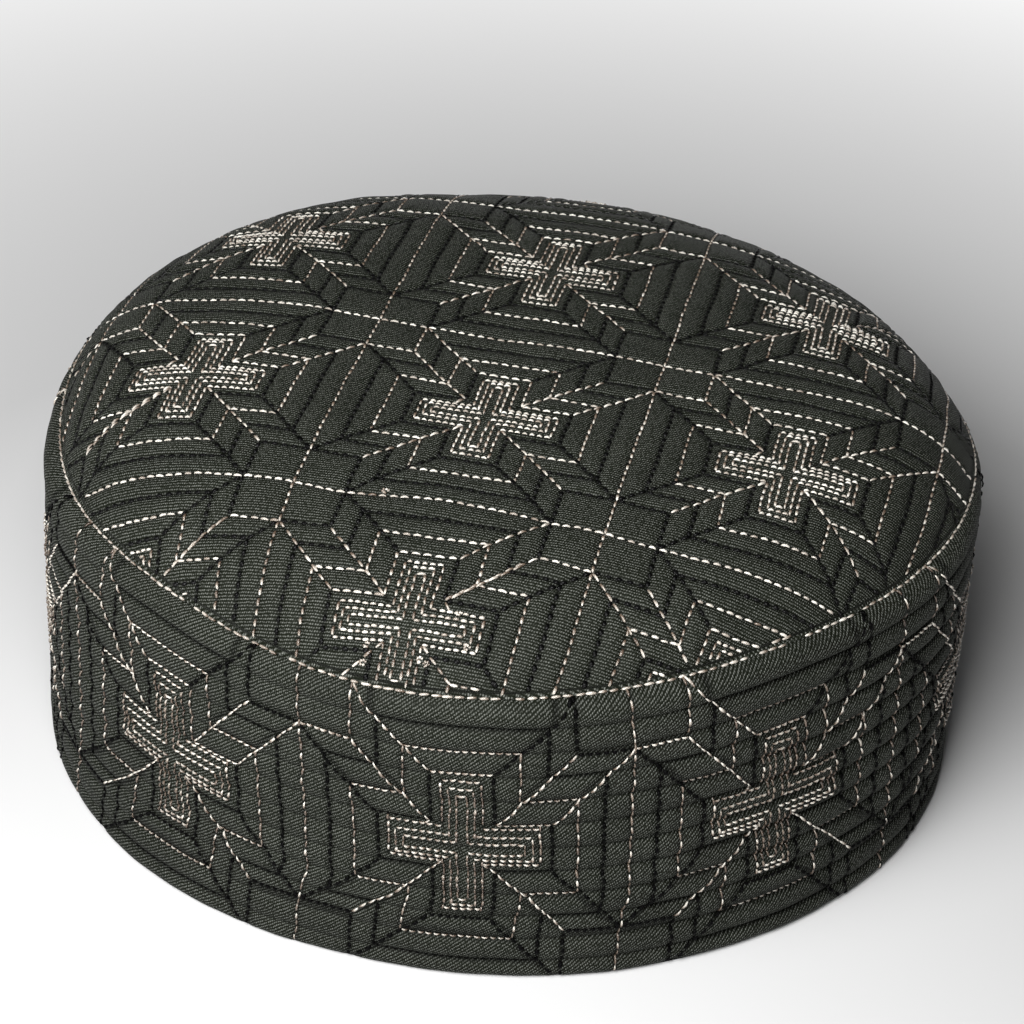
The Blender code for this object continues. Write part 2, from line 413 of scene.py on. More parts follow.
def quilt_relief(u, v):
    """How far the stitched lines pull the cloth in at pattern points, as a negative height."""
    a, b = folded(u, v)
    nearest = np.full(np.shape(a), 1.0)
    for start, end in EIGHTH_LINES:
        nearest = np.minimum(nearest, segment_distance(a, b, start, end))
    relief = -QUILT_DEPTH * np.exp(-nearest * TILE / QUILT_WIDTH)
    cross = CROSS_OUTLINES[0]
    in_arm = (b < cross[0]) & (a < cross[1])
    return np.where(in_arm, np.minimum(relief, -CROSS_DEPTH_SHARE * QUILT_DEPTH), relief)


def pucker(u, v):
    """Small uneven swelling of the padding."""
    return PUCKER * sum(size * uneven(u, v, first, second) for size, first, second in PUCKER_WAVES)


def crown_relief(u, v):
    share, _ = crown_polar(u, v)
    edge = np.clip((1.0 - share) / CROWN_RELIEF_FADE, 0.0, 1.0)
    side, up = crown_sway(u, v)
    return (quilt_relief(u - side, v - up) + pucker(u, v)) * edge


def band_share(pattern_height):
    return np.interp(pattern_height, *zip(*BAND_PATTERN_HEIGHT))


def band_pattern_height(share):
    heights, shares = zip(*BAND_PATTERN_HEIGHT)
    return np.interp(share, shares, heights)


TOP_GROOVE_SHARE = LOWEST_GROOVE_SHARE + (GROOVE_COUNT - 1) * GROOVE_PITCH_SHARE


def rib_step(share):
    """Step from one groove to the next at shares of the band's height."""
    step = (share - LOWEST_GROOVE_SHARE) / GROOVE_PITCH_SHARE
    inside = step - np.floor(step)
    low = np.clip(share / LOWEST_GROOVE_SHARE, 0.0, 1.0)
    return np.where(share < LOWEST_GROOVE_SHARE, low, inside)


def rib_fullness(direction):
    """Share of the full groove depth: the ribs lie flatter at the front left than elsewhere."""
    away = (direction - FLAT_RIBS_AT + math.pi) % (2.0 * math.pi) - math.pi
    return 1.0 - (1.0 - FLATTEST_RIBS) * np.exp(-(away / FLAT_RIBS_SPREAD) ** 4)


def rib_offset(rib, direction):
    """Height of a rib's face above the plain band: rib is nought in a groove, one on top."""
    return RIB_CREST * rib - RIB_GROOVE * rib_fullness(direction) * (1.0 - rib)


def arch(place):
    """Height of a half circle of unit radius at places from -1 to 1 across it."""
    return np.sqrt(np.clip(1.0 - place ** 2, 0.0, 1.0))


def band_profile(share, direction, ribs=True):
    """Radius and height of the band's outer face, rounding over to the seam at the top."""
    rim = along(RIM_RADIUS_CURVE, direction)
    seam = along(SEAM_RADIUS_CURVE, direction)
    seam_height = along(SEAM_HEIGHT_CURVE, direction)
    shoulder = along(SHOULDER_CURVE, direction)
    turn_share = 1.0 - SHOULDER_DROP / seam_height
    turn = np.clip((share - turn_share) / (1.0 - turn_share), 0.0, 1.0) * math.pi / 2.0
    rise = np.clip((share - TOP_GROOVE_SHARE) / (turn_share - TOP_GROOVE_SHARE), 0.0, 1.0)
    rib = np.where(share > TOP_GROOVE_SHARE, arch(1.0 - rise), arch(2.0 * rib_step(share) - 1.0))
    radius = rim + (seam + shoulder - rim) * share + float(ribs) * rib_offset(rib, direction)
    turned_radius = seam + (shoulder + RIB_CREST) * np.cos(turn)
    turned_height = seam_height - SHOULDER_DROP * (1.0 - np.sin(turn))
    turned = share > turn_share
    return np.where(turned, turned_radius, radius), np.where(turned, turned_height, seam_height * share)


def band_base(u, share, ribs=True):
    """Points on the band at pattern columns and shares of its height."""
    direction = BAND_FRONT_TILE + u * BAND_TILE_ANGLE
    radius, height = band_profile(share, direction, ribs)
    return around(radius, direction, height)


def band_smooth(u, share):
    return band_base(u, share, ribs=False)


def band_relief(u, share):
    v = band_pattern_height(share)
    fade = np.clip((1.0 - share) / BAND_RELIEF_FADE, 0.0, 1.0)
    pull = BAND_PULL - DEEP_RIB_PULL_LOSS * rib_fullness(BAND_FRONT_TILE + u * BAND_TILE_ANGLE)
    return (pull * quilt_relief(u - band_sway(u, share), v) + pucker(u, v)) * fade


def band_face(u, share):
    """The band's finished outer face and its smooth outward normals."""
    inside = np.clip(share, BAND_NORMAL_MARGIN, 1.0 - BAND_NORMAL_MARGIN)
    normal = normals_of(band_smooth, u, inside, BAND_NORMAL_STEP)
    return band_base(u, share) + normal * band_relief(u, share)[..., None], normal


def crown_face(u, v):
    """The crown's finished outer face and its smooth outward normals."""
    normal = normals_of(crown_base, u, v, CROWN_NORMAL_STEP)
    return crown_base(u, v) + normal * crown_relief(u, v)[..., None], normal


def make_mesh(name, material, points, faces, uv=None, tone_and_painted_light=None, tile=None):
    """Smooth mesh object, with its places in the cloth in metres, in the tile, and its tones of painted
    highlight and shade.
    """
    data = bpy.data.meshes.new(name)
    data.from_pydata([tuple(point) for point in points], [], faces)
    data.polygons.foreach_set("use_smooth", [True] * len(data.polygons))
    corner = np.empty(len(data.loops), dtype=np.int32)
    data.loops.foreach_get("vertex_index", corner)
    for label, values in (("cloth", uv), ("tile", tile)):
        if values is not None:
            layer = data.uv_layers.new(name=label)
            layer.data.foreach_set("uv", np.asarray(values, dtype=np.float32)[corner].ravel())
    if tone_and_painted_light is not None:
        layer = data.attributes.new("tone_and_painted_light", "FLOAT", "POINT")
        layer.data.foreach_set("value", np.asarray(tone_and_painted_light, dtype=np.float32))
    data.validate()
    data.materials.append(material)
    item = bpy.data.objects.new(name, data)
    bpy.context.scene.collection.objects.link(item)
    return item


def build_crown(material):
    """The crown: a fine square grid of cloth, a rolled and turned-down edge, an under side."""
    reach = int(CROWN_GRID_REACH * TILE / CROWN_GRID)
    step = CROWN_GRID / TILE
    centre = CROWN_PATTERN_MIDDLE
    line = np.arange(-reach, reach + 1) * step
    u, v = np.meshgrid(centre[0] + line, centre[1] + line, indexing="ij")
    inside = crown_polar(u, v)[0] < CROWN_FLAT_SHARE - CROWN_GRID_GAP
    cell = inside[:-1, :-1] & inside[1:, :-1] & inside[1:, 1:] & inside[:-1, 1:]
    used = np.zeros_like(inside)
    for right, up in CELL_CORNERS:
        used[right:right + len(cell), up:up + len(cell)] |= cell
    index = np.full(inside.shape, -1)
    index[used] = np.arange(used.sum())
    i, j = np.nonzero(cell)
    faces = np.stack([index[i + right, j + up] for right, up in CELL_CORNERS], axis=-1).tolist()

    # Border of the grid: its edges that belong to one cell only.
    border = []
    for i, j in zip(*np.nonzero(cell)):
        for right, up in ((0, -1), (0, 1), (-1, 0), (1, 0)):
            if not cell[i + right, j + up]:
                column, row = i + max(right, 0), j + max(up, 0)
                border.append((index[column, row], index[column + abs(up), row + abs(right)]))

    # Triangles between that border and an even ring near the seam.
    directions = np.arange(CROWN_EDGE_STEPS) * 2.0 * math.pi / CROWN_EDGE_STEPS
    ring_u, ring_v = crown_pattern(CROWN_FLAT_SHARE, directions)
    pattern = np.stack((np.append(u[used], ring_u), np.append(v[used], ring_v)), axis=-1)
    ring = list(range(used.sum(), len(pattern)))
    local = sorted({corner for edge in border for corner in edge}) + ring
    place = {corner: k for k, corner in enumerate(local)}
    edges = [(place[a], place[b]) for a, b in border + list(zip(ring, ring[1:] + ring[:1]))]
    points = [Vector(pattern[k].tolist()) for k in local]
    new_points, _, triangles, origins = delaunay_2d_cdt(points, edges, [], 0, 1e-7)[:4]
    for triangle in triangles:
        middle = sum((new_points[k] for k in triangle), Vector((0.0, 0.0))) / 3.0
        column = int(math.floor((middle.x - centre[0]) / step)) + reach
        row = int(math.floor((middle.y - centre[1]) / step)) + reach
        if crown_polar(*middle)[0] < CROWN_FLAT_SHARE and not cell[column, row]:
            faces.append([local[origins[k][0]] for k in triangle])

    # The rolled edge, turned down inside the band's top, and the plain under side.
    seam_height = along(SEAM_HEIGHT_CURVE, directions)
    edge = along(SEAM_RADIUS_CURVE, directions) - TURN_DOWN_INSET
    rings = []
    for share in CROWN_EDGE_SHARES:
        on_face, _ = crown_face(*crown_pattern(share, directions))
        outside = np.hypot(*(on_face - MIDDLE)[:, :2].T) > edge
        rings.append(np.where(outside[:, None], around(edge, directions, on_face[:, 2]), on_face))
    rings += [around(edge, directions, seam_height + TURN_DOWN_START),
              around(edge, directions, seam_height - TURN_DOWN),
              around(edge - CLOTH_THICKNESS, directions, seam_height - TURN_DOWN)]
    rings += [crown_point(share, directions, CLOTH_THICKNESS) for share in CROWN_UNDER_SHARES]
    first = ring
    for _ in rings:
        second = [corner + CROWN_EDGE_STEPS for corner in first]
        faces += zip(first, second, second[1:] + second[:1], first[1:] + first[:1])
        first = second
    apex = around(np.zeros(1), np.zeros(1), CROWN_TOP - CLOTH_THICKNESS)
    vertices = np.concatenate([crown_face(*pattern.T)[0]] + rings + [apex])
    faces += [(a, len(vertices) - 1, b) for a, b in zip(first, first[1:] + first[:1])]
    cloth = vertices[:, :2].copy()
    cloth[:len(pattern)] = pattern * TILE
    tile = np.full(cloth.shape, PLAIN_PLACE)
    tile[:len(pattern)] = pattern - np.stack(crown_sway(*pattern.T), axis=-1)
    return make_mesh("crown_quilted", material, vertices, faces, cloth, tile=tile)


def build_band(material):
    """The side band: ribbed padded face, rounded top edge, plain inner wall."""
    step = (1.0 - np.cos(np.pi * np.arange(ROWS_PER_RIB) / ROWS_PER_RIB)) / 2.0
    shares = list(LOWEST_GROOVE_SHARE * step[1:])
    for number in range(GROOVE_COUNT - 1):
        shares += list(LOWEST_GROOVE_SHARE + (number + step) * GROOVE_PITCH_SHARE)
    shares += [TOP_GROOVE_SHARE + (1.0 - TOP_GROOVE_SHARE) * rise for rise in BAND_TOP_RISES]
    directions = np.arange(BAND_STEPS) * 2.0 * math.pi / BAND_STEPS
    u = (directions - BAND_FRONT_TILE) / BAND_TILE_ANGLE
    rim = along(RIM_RADIUS_CURVE, directions)
    seam_height = along(SEAM_HEIGHT_CURVE, directions)
    inner_top = along(SEAM_RADIUS_CURVE, directions) - BAND_TOP_INSET
    inner_rim = rim - CLOTH_THICKNESS
    rings = [around(rim - EDGE_ROUND, directions, 0.0)]
    rings += [band_face(u, np.full(BAND_STEPS, share))[0] for share in shares]
    rings += [around(inner_top, directions, seam_height - BAND_TOP_ROUND),
              around(inner_top, directions, seam_height - BAND_COLLAR)]
    rings += [around(inner_rim + (inner_top - inner_rim) * share, directions, seam_height * share)
              for share in BAND_INNER_SHARES]
    rings += [around(inner_rim, directions, EDGE_ROUND),
              around(inner_rim + EDGE_ROUND, directions, 0.0)]
    rings = np.array(rings)
    index = np.arange(len(rings) * BAND_STEPS).reshape(-1, BAND_STEPS)
    after = np.roll(index, -1, axis=1)
    quads = (index, after, np.roll(after, -1, axis=0), np.roll(index, -1, axis=0))
    faces = np.stack(quads, axis=-1).reshape(-1, 4).tolist()
    climbs = np.linalg.norm(np.diff(rings, axis=0), axis=-1).mean(axis=1)
    climbed = np.append(0.0, np.cumsum(climbs))[:, None]
    cloth = np.stack(np.broadcast_arrays(directions * BAND_CLOTH_RADIUS, climbed), axis=-1)
    tile = np.full(cloth.shape, PLAIN_PLACE)
    for row, share in enumerate(shares, start=1):
        tile[row, :, 0] = u - band_sway(u, share + 0.0 * u)
        tile[row, :, 1] = min(band_pattern_height(share), PLAIN_PLACE[1])
    return make_mesh("band_ribbed", material, rings.reshape(-1, 3), faces,
                     cloth.reshape(-1, 2), tile=tile.reshape(-1, 2))


def plus_corners(half, reach):
    """Corners of a plus-shaped outline, anticlockwise from the top cap's right end."""
    return (
        (half, reach), (-half, reach), (-half, half), (-reach, half),
        (-reach, -half), (-half, -half), (-half, -reach), (half, -reach),
        (half, -half), (reach, -half), (reach, half), (half, half),
    )


# The parts of a tile that the cream thread follows on its way to the next one, and where the
# dark thread takes its place: by column and row on the crown, and by column on the band.
PATH = ("corner level", "corner upright", "tall mitre", "cap", "inner upright", "inner level",
        "wide mitre")
CROWN_PATH_GAPS = {
    (-1, -1): PATH[1:],
    (0, -1): ("corner upright",),
    (1, -1): ("corner upright", "inner level"),
}
BAND_PATH_GAPS = {0: ("inner upright",)}


def tile_lines(gaps=()):
    """Every stitched line of one tile, with its colour of thread."""
    def path(part, here=True):
        return CREAM if here and part not in gaps else DARK

    lines = []
    half, reach = RING_ONE
    cream_path = {
        frozenset(((half, reach), (-half, reach))): path("cap"),
        frozenset(((half, half), (half, reach))): path("inner upright"),
        frozenset(((reach, half), (half, half))): path("inner level"),
    }
    outlines = [(outline, CREAM) for outline in CROSS_OUTLINES]
    outlines += [(RING_ONE, DARK), (RING_TWO, CREAM), (RING_THREE, DARK)]
    for outline, colour in outlines:
        corners = plus_corners(*outline)
        for start, end in zip(corners, corners[1:] + corners[:1]):
            lines.append((start, end, cream_path.get(frozenset((start, end)), colour)))
    for side in (-1, 1):
        for rise in (-1, 1):
            first = (side, rise) == (-1, 1)
            corner = (side * CORNER, rise * CORNER)
            beside = (side * HALF_TILE, rise * CORNER)
            above = (side * CORNER, rise * HALF_TILE)
            inner = CROSS_OUTLINES[0][0] if rise < 0 else RING_ONE[0]
            lines += [
                (beside, corner, path("corner level", first)),
                (corner, above, path("corner upright", first)),
                ((side * inner, rise * inner), corner, CREAM),
                ((side * half, rise * reach), above, path("tall mitre", first)),
                ((side * reach, rise * half), beside, path("wide mitre", side == rise == 1)),
            ]
    return lines + [
        ((-half, half), (-CROSS_TAIL, CROSS_OUTLINES[0][0]), CREAM),
        ((HALF_TILE, -HALF_TILE), (HALF_TILE, HALF_TILE), CREAM),
        ((-HALF_TILE, HALF_TILE), (HALF_TILE, HALF_TILE), CREAM),
    ]


# Diagonals of the crown that were sewn twice: column, row, outer end and inner end.
SEWN_TWICE = (
    (-1, -1, (0.33, 0.33), (0.165, 0.165)),
    (0, -1, (0.30, 0.30), (0.12, 0.12)),
    (-1, 0, (-0.33, -0.33), (-0.07, -0.07)),
)

# Small loose loops of thread: column and height in the crown's pattern, radius in millimetres.
LOOSE_LOOPS = (
    (0.149, -0.943, 0.50), (0.063, -1.108, 0.55), (0.086, -1.118, 0.45), (0.198, -1.047, 0.50),
    (-0.112, -1.132, 0.60), (-0.108, -1.077, 0.50), (-0.203, -0.485, 0.55),
)
LOOP_STITCHES = 6
LOOP_OVERLAP = 0.08
LOOP_FLATNESS = 0.8


def crown_stitches():
    """Start, end and colour of each stitch on the crown, in pattern coordinates."""
    found = {CREAM: [], DARK: []}
    for row in CROWN_TILES:
        mirror = -1.0 if row % 2 else 1.0
        for column in CROWN_TILES:
            for start, end, colour in tile_lines(CROWN_PATH_GAPS.get((column, row), ())):
                first, last = (np.array((column + mirror * x, row + y)) for x, y in (start, end))
                pitch = crown_pitch(start, end)
                found[colour] += split_line(first, last, TILE, pitch, STITCH_FILL[colour])
    for column, row, outer, inner in SEWN_TWICE:
        run = unit(np.subtract(inner, outer))
        shift = (np.array((-run[1], run[0])) * SECOND_ROW_OFFSET + run * STITCH_PITCH / 2.0) / TILE
        first, last = (np.add((column, row), end) + shift for end in (outer, inner))
        found[CREAM] += split_line(first, last, TILE, DIAGONAL_PITCH, STITCH_FILL[CREAM])
    for u, v, radius in LOOSE_LOOPS:
        reach = radius * MM / TILE
        for k in range(LOOP_STITCHES):
            turns = np.array((k - LOOP_OVERLAP, k + 1 + LOOP_OVERLAP))
            angle = 2.0 * math.pi * turns / (LOOP_STITCHES + 1)
            found[CREAM].append(np.stack((u + reach * np.cos(angle),
                                          v + LOOP_FLATNESS * reach * np.sin(angle)), axis=-1))
    for colour, stitches in found.items():
        stitches = np.array(stitches)
        stitches = stitches + np.stack(crown_sway(stitches[..., 0], stitches[..., 1]), axis=-1)
        share, _ = crown_polar(*stitches.mean(axis=1).T)
        found[colour] = stitches[share < CROWN_LAST_STITCH]
    return found


def on_cross(start, end):
    """Whether a line of the tile belongs to the filled cross in its middle."""
    return max(abs(value) for value in (*start, *end)) <= CROSS_OUTLINES[0][1]


def crown_pitch(start, end):
    """Stitch length of a line of the crown: short across a cross, long on a slant."""
    if on_cross(start, end) and start[1] == end[1]:
        return CROSS_PITCH
    return STITCH_PITCH if start[0] == end[0] or start[1] == end[1] else DIAGONAL_PITCH


def stitch_shares(number, fill):
    """Start and end of each of a row of stitches, as shares of the row."""
    return [((k + 0.5 - fill / 2.0) / number, (k + 0.5 + fill / 2.0) / number)
            for k in range(number)]


def split_line(first, last, scale, pitch, fill):
    """Stitches of about the given pitch along one line."""
    number = max(1, int(round(np.hypot(*((last - first) * scale)) / pitch)))
    return [(first + (last - first) * low, first + (last - first) * high)
            for low, high in stitch_shares(number, fill)]


def band_stitches():
    """Start and end of each stitch on the band, as pattern column and share of height."""
    found = {CREAM: [], DARK: []}
    for column in BAND_TILES:
        for start, end, colour in tile_lines(BAND_PATH_GAPS.get(column, ())):
            if start[1] == end[1] == HALF_TILE:
                continue
            first, last = (np.array((column + x, band_share(y))) for x, y in (start, end))
            if start[0] == end[0]:
                per_rib = STITCHES_PER_RIB + int(on_cross(start, end))
                found[colour] += split_upright(first, last, per_rib, BAND_FILL[colour])
            else:
                pitch = BAND_LEVEL_PITCH if start[1] == end[1] else STITCH_PITCH
                found[colour] += split_line(first, last, BAND_SCALE, pitch, BAND_FILL[colour])
    limit = math.pi / BAND_TILE_ANGLE
    for colour, stitches in found.items():
        stitches = np.array(stitches)
        column, share = stitches.mean(axis=1).T
        stitches = stitches[(np.abs(column) < limit) & (share < 1.0)
                            & (share > BAND_LOWEST_STITCH)]
        stitches[..., 0] += band_sway(stitches[..., 0], stitches[..., 1])
        found[colour] = stitches
    return found


def split_upright(first, last, per_rib, fill):
    """Stitches of an upright line, a few to each rib, ending in the grooves."""
    low, high = sorted((first[1], last[1]))
    stitches = []
    for number in range(-1, GROOVE_COUNT):
        for ends in stitch_shares(per_rib, fill):
            bottom, top = (LOWEST_GROOVE_SHARE + (number + end) * GROOVE_PITCH_SHARE for end in ends)
            if low <= (bottom + top) / 2.0 <= high:
                stitches.append((np.array((first[0], bottom)), np.array((first[0], top))))
    return stitches


def build_stitches(name, material, face, stitches, width, lift, tone_and_painted_light):
    """Short arched lengths of thread lying on a face, all in one mesh."""
    spread = rng.normal(0.0, 1.0, (len(stitches), len(STITCH_SPREAD))) * STITCH_SPREAD
    aside, ahead, lean, longer, wider, higher = np.split(spread, len(STITCH_SPREAD), axis=1)
    start, start_normal = face(*stitches[:, 0].T)
    end, end_normal = face(*stitches[:, 1].T)
    axis = unit(end - start)
    side = unit(np.cross(start_normal + end_normal, axis))
    normal = np.cross(axis, side)
    middle = (start + end) / 2.0 + side * aside + axis * ahead
    length = np.linalg.norm(end - start, axis=1, keepdims=True) * (1.0 + longer)
    axis = axis + side * lean
    across = np.reshape(width, (-1, 1)) * (1.0 + wider)
    high = THREAD_HEIGHT * (1.0 + higher)
    lift = np.reshape(lift, (-1, 1))
    points = []
    uv = []
    for station, swell in STITCH_STATIONS:
        rise = lift + (STITCH_ARCH * (1.0 - (2.0 * station) ** 2) - STITCH_SINK)
        centre = middle + axis * (length * station) + normal * rise
        for k in range(STITCH_SIDES):
            angle = 2.0 * math.pi * k / STITCH_SIDES
            points.append(centre + side * (across * swell * math.cos(angle) / 2.0)
                          + normal * (high * swell * math.sin(angle) / 2.0))
            uv.append(np.stack((length[:, 0] * station,
                                across[:, 0] * 0.5 * abs(angle - math.pi)), axis=-1))
    for station in (-STITCH_TIP, STITCH_TIP):
        points.append(middle + axis * (length * station) + normal * (lift - TIP_SINK))
        uv.append(np.stack((length[:, 0] * station, 0.0 * length[:, 0]), axis=-1))
    per = len(points)
    points = np.stack(points, axis=1).reshape(-1, 3)
    uv = np.stack(uv, axis=1).reshape(-1, 2)
    last = (len(STITCH_STATIONS) - 1) * STITCH_SIDES
    sides = [(k, (k + 1) % STITCH_SIDES) for k in range(STITCH_SIDES)]
    quads = [(low + k, low + after, low + STITCH_SIDES + after, low + STITCH_SIDES + k)
             for low in range(0, last, STITCH_SIDES) for k, after in sides]
    triangles = [tip for k, after in sides
                 for tip in ((per - 2, after, k), (per - 1, last + k, last + after))]
    base = np.arange(len(stitches))[:, None, None] * per
    faces = [face for pattern in (quads, triangles)
             for face in (np.array(pattern) + base).reshape(-1, len(pattern[0])).tolist()]
    # Painted highlight and shade: each point's tone runs between the stitch's two end tones.
    along_stitch = [station for station, _ in STITCH_STATIONS for _ in range(STITCH_SIDES)]
    along_stitch = np.array(along_stitch + [-0.5, 0.5]) + 0.5
    shade = tone_and_painted_light[:, :1] + (tone_and_painted_light[:, 1:] - tone_and_painted_light[:, :1]) * along_stitch
    return make_mesh(name, material, points, faces, uv, shade.ravel())


def seam_face(u, _):
    """The join of crown and band, with normals between upward and outward."""
    direction = BAND_FRONT_TILE + u * BAND_TILE_ANGLE
    radius = along(SEAM_RADIUS_CURVE, direction) + SEAM_THREAD_OUTSET
    height = along(SEAM_HEIGHT_CURVE, direction)
    outward = np.stack((np.cos(direction), np.sin(direction), SEAM_LEAN + 0.0 * direction), axis=-1)
    return around(radius, direction, height), unit(outward)


def build_seam(material):
    """The row of fine stitches over the join of crown and band."""
    number = int(round(SEAM_LENGTH / SEAM_PITCH))
    pitch = 2.0 * math.pi / BAND_TILE_ANGLE / number
    centre = np.arange(number) * pitch
    half = SEAM_FILL / 2.0 * pitch
    ends = np.stack((centre - half, centre + half), axis=-1)
    ends = ends[rng.random(number) > SEAM_MISSED]
    ends += rng.normal(0.0, SEAM_SPREAD * pitch, ends.shape)
    stitches = np.stack((ends, np.zeros(ends.shape)), axis=-1)
    # Painted highlight: each seam stitch is lighter at its first end, with a random spread.
    tone_and_painted_light = rng.uniform(SEAM_LEAST_TONES, SEAM_MOST_TONES, ends.shape)
    return build_stitches("seam_thread", material, seam_face, stitches, SEAM_THREAD_WIDTH,
                          SEAM_THREAD_LIFT, tone_and_painted_light)


def crown_tones_and_painted_light(stitches):
    """Painted light at both ends of each stitch, with a random spread: painted highlight along level
    ones and at the front end of the rest, painted shade on upright ones, more so further back.
    """
    run = stitches[:, 1] - stitches[:, 0]
    rise = run[:, 1] / (np.abs(run).sum(axis=1) + 1e-9)
    behind = np.clip(stitches[:, 0, 1], 0.0, 2.0)
    middle = CROWN_TONE - (CROWN_UPRIGHT_SHADE + CROWN_BACK_SHADE * behind) * np.abs(rise)
    middle = middle + rng.normal(0.0, CROWN_TONE_SPREAD, len(stitches))
    front_highlight = CROWN_FRONT_HIGHLIGHT * rise
    return np.clip(np.stack((middle + front_highlight, middle - front_highlight), axis=-1), 0.0, 1.0)


def runs_level(stitches):
    """Whether a stitch of the band runs level."""
    run = np.abs(stitches[:, 1] - stitches[:, 0])
    return run[:, 1] < LEVEL_RUN * run[:, 0]


def groove_line(stitches):
    """Whether a stitch of the band belongs to a level line lying in a groove."""
    step = rib_step(stitches[..., 1].mean(axis=1))
    return runs_level(stitches) & (np.minimum(step, 1.0 - step) < GROOVE_REACH)


def glint(share):
    """How far a place on the band lies on the part of its rib that catches the light."""
    return bell(rib_step(share) - GLINT_STEP, GLINT_REACH)


def band_tones_and_painted_light(stitches):
    """Painted light at both ends of each stitch of the band, with a random spread: painted highlight at
    the upper end and where the rib faces up.
    """
    column, share = stitches[..., 0], stitches[..., 1]
    ends = np.where(share > share[:, ::-1], BAND_UPPER_TONE, BAND_LOWER_TONE)
    fine = np.where(np.abs(column - np.round(column)) < CROSS_OUTLINES[0][0] + ARM_MARGIN,
                    ARM_SHARE, 1.0)
    run = np.abs(stitches[:, 1] - stitches[:, 0])
    upright = (run[:, 0] <= UPRIGHT_RUN * run[:, 1])[:, None]
    caught = BAND_UPRIGHT_TONE + BAND_GLINT_TONE * glint(share)
    ends = np.where(upright, ends * caught * fine, ends)
    ends = np.where(runs_level(stitches)[:, None], BAND_LEVEL_TONES, ends)
    ends = np.where(groove_line(stitches)[:, None], BAND_GROOVE_TONES, ends)
    return np.clip(ends + rng.normal(0.0, BAND_TONE_SPREAD, (len(stitches), 1)), 0.0, 1.0)


def band_widths(stitches, width):
    """Width of each stitch on the band: thin in the grooves, full where the rib faces up."""
    caught = glint(stitches[..., 1].mean(axis=1))
    fullness = LEAST_STITCH_SHARE + (1.0 - LEAST_STITCH_SHARE) * caught
    fullness = np.where(runs_level(stitches), LEVEL_STITCH_SHARE, fullness)
    return np.where(groove_line(stitches), GROOVE_STITCH_SHARE, fullness) * width


class Nodes:
    """Short way of wiring a material's nodes."""

    def __init__(self, name):
        self.material = bpy.data.materials.new(name)
        self.material.use_nodes = True
        self.tree = self.material.node_tree
        self.shader = self.tree.nodes["Principled BSDF"]

    def fill(self, node, inputs):
        for key, value in inputs.items():
            if isinstance(value, bpy.types.NodeSocket):
                self.tree.links.new(value, node.inputs[key])
            else:
                node.inputs[key].default_value = value

    def add(self, kind, settings=None, inputs=None):
        node = self.tree.nodes.new(kind)
        for key, value in (settings or {}).items():
            setattr(node, key, value)
        self.fill(node, inputs or {})
        return node

    def math(self, operation, first, second=0.0, third=0.0, clamp=False):
        node = self.add("ShaderNodeMath", {"operation": operation, "use_clamp": clamp},
                        {0: first, 1: second, 2: third})
        return node.outputs[0]

    def vector(self, operation, first, second=(0.0, 0.0, 0.0), third=(0.0, 0.0, 0.0)):
        node = self.add("ShaderNodeVectorMath", {"operation": operation},
                        {0: first, 1: second, 2: third})
        return node.outputs["Value" if operation in ("DOT_PRODUCT", "DISTANCE") else "Vector"]

    def linear(self, value, gain, offset, clamp=False):
        return self.math("MULTIPLY_ADD", value, gain, offset, clamp)

    def mix(self, factor, first, second):
        node = self.add("ShaderNodeMix", {"data_type": "RGBA"}, {0: factor, 6: first, 7: second})
        return node.outputs[2]

    def uv(self, name):
        return self.add("ShaderNodeUVMap", {"uv_map": name}).outputs[0]

    def noise(self, place, scale, detail=2.0):
        inputs = {"Vector": place, "Scale": scale, "Detail": detail}
        return self.add("ShaderNodeTexNoise", None, inputs).outputs["Fac"]

    def split(self, place):
        return self.add("ShaderNodeSeparateXYZ", None, {0: place}).outputs

    def bump(self, height, distance, strength):
        inputs = {"Height": height, "Distance": distance, "Strength": strength}
        self.fill(self.shader, {"Normal": self.add("ShaderNodeBump", None, inputs).outputs[0]})

    def surface(self, colour, roughness, specular):
        self.fill(self.shader, {"Base Color": colour, "Roughness": roughness,
                                "Specular IOR Level": specular})


def line_nearness(nodes, crease_width):
    """One on a quilting line of the tile, fading to nothing a short way beside it."""
    sides = [nodes.math("ABSOLUTE", nodes.math("SUBTRACT", side, nodes.math("ROUND", side)))
             for side in nodes.split(nodes.uv("tile"))[:2]]
    point = nodes.add("ShaderNodeCombineXYZ", None, {
        0: nodes.math("MAXIMUM", *sides), 1: nodes.math("MINIMUM", *sides)}).outputs[0]
    nearest = 1.0
    for start, end in EIGHTH_LINES:
        start, end = Vector((*start, 0.0)), Vector((*end, 0.0))
        run = end - start
        onto = nodes.vector("DOT_PRODUCT", point, run / run.length_squared)
        part = nodes.math("SUBTRACT", onto, start.dot(run) / run.length_squared, clamp=True)
        foot = nodes.vector("MULTIPLY_ADD", run, part, start)
        nearest = nodes.math("MINIMUM", nodes.vector("DISTANCE", point, foot), nearest)
    widths = nodes.math("MULTIPLY", nearest, TILE / crease_width)
    return nodes.math("EXPONENT", nodes.math("MULTIPLY", nodes.math("MULTIPLY", widths, widths), -1.0))


# Twill.  A gain and an offset turn each wave or noise into a lightness.  Scales are per metre.
# The light twill colour is partly a painted glint on the yarns' bright specks.
TWILL_LIGHT = (0.180, 0.188, 0.168, 1.0)
TWILL_DARK = (0.0040, 0.0052, 0.0024, 1.0)
YARN_WANDER_SCALE = 220.0
YARN_WANDER = 5.0
RIDGE_POWER = 1.9
SPECK_POWER = 1.5
SPECKS = (0.98, 0.14)
LINT_SCALE = 2700.0
LINT = (4.0, -1.5)
FIBRE = (1.7, 0.15)
